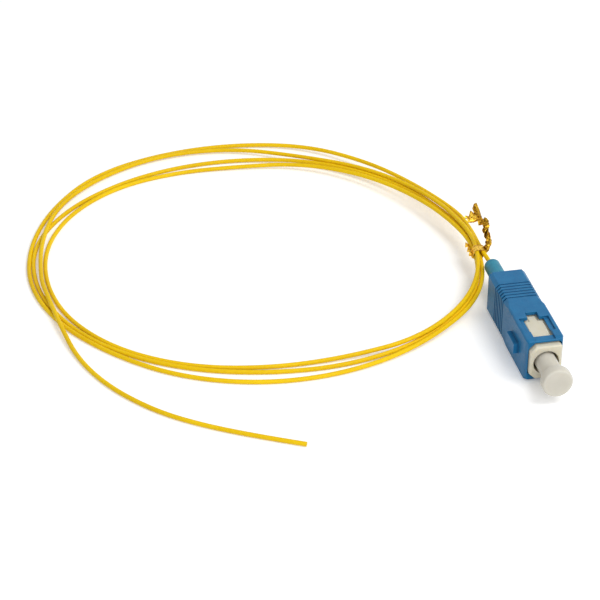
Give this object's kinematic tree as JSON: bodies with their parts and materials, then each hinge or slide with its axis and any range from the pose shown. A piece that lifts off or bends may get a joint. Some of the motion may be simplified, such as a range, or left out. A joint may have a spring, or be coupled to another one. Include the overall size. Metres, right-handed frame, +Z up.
{
  "type": "fibre optic pigtail",
  "caption": "Fibre optic pigtail: a push-pull rectangular connector with ribbed grip, boot and dust cap on a thin fibre that is coiled, held by a foil twist tie and left bare for splicing.",
  "frame": {"origin": "on the surface that it lies on, under the connector's grip, 12.5 mm in front of its rear end", "axes": "+X out of the connector's nose along its axis, -Y towards the keyed wide face, +Z up"},
  "size_m": [0.1179, 0.0958, 0.0142],
  "materials": {
    "grip_plastic": "satin blue",
    "frame_plastic": "ivory",
    "ferrule_ceramic": "polished white",
    "bare_glass": "clear",
    "flange_metal": "turned",
    "fibre_buffer": "yellow, satin",
    "spring_steel": "drawn wire",
    "ring_metal": "nickel plated",
    "boot_rubber": "satin teal",
    "cap_plastic": "milky",
    "tie_foil": "crumpled gold foil"
  },
  "bodies": {
    "plug": {"plug_frame": "frame_plastic", "stop_ring": "ring_metal", "boot": "boot_rubber", "spring": "spring_steel", "fibre_lead": "fibre_buffer", "fibre_coil": "fibre_buffer", "fibre_tail": "fibre_buffer", "twist_tie": "tie_foil"},
    "grip": {"outer_housing": "grip_plastic"},
    "ferrule_group": {"ferrule": "ferrule_ceramic", "glass_fibre": "bare_glass", "ferrule_flange": "flange_metal", "inner_fibre": "fibre_buffer"},
    "cap": {"dust_cap": "cap_plastic"}
  },
  "joints": [
    {"name": "grip_slide", "type": "slide", "parent": "plug", "child": "grip", "axis": [1, 0, 0], "range_m": [-0.002, 0]},
    {"name": "ferrule_slide", "type": "slide", "parent": "plug", "child": "ferrule_group", "axis": [1, 0, 0], "range_m": [-0.001, 0], "stiffness_N_per_m": 1000, "deforming": ["spring"]},
    {"name": "cap_pull", "type": "slide", "parent": "ferrule_group", "child": "cap", "axis": [1, 0, 0], "range_m": [0, 0.01]}
  ]
}
